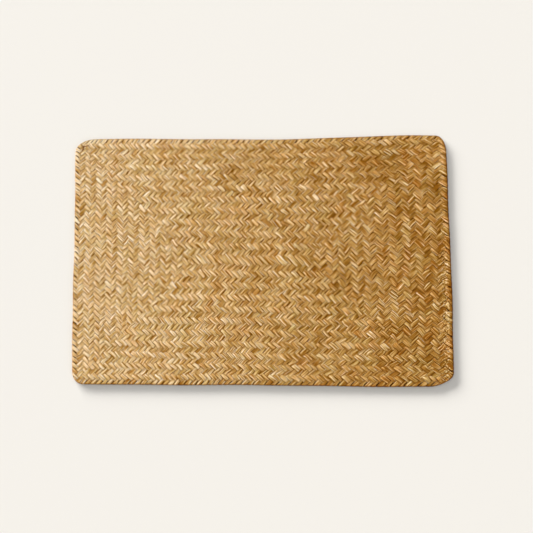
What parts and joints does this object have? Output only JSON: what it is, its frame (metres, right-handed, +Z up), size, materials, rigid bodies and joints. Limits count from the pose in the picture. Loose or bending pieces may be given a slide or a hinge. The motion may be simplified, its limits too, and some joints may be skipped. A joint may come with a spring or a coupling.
{
  "type": "straw placemat",
  "caption": "Oblong flat table mat plaited from straw on the diagonal, with rounded corners and a rim where the straws fold back.",
  "frame": {"origin": "centre of the flat underside of the mat, at the middle of its outline's box", "axes": "+X along the long side, +Y along the short side towards the far edge, +Z up out of the table"},
  "size_m": [0.4522, 0.3052, 0.003],
  "materials": {
    "straw": "satin-matte flattened natural straw, cream to golden brown"
  },
  "bodies": {
    "root": {"mat": "straw"}
  },
  "joints": []
}
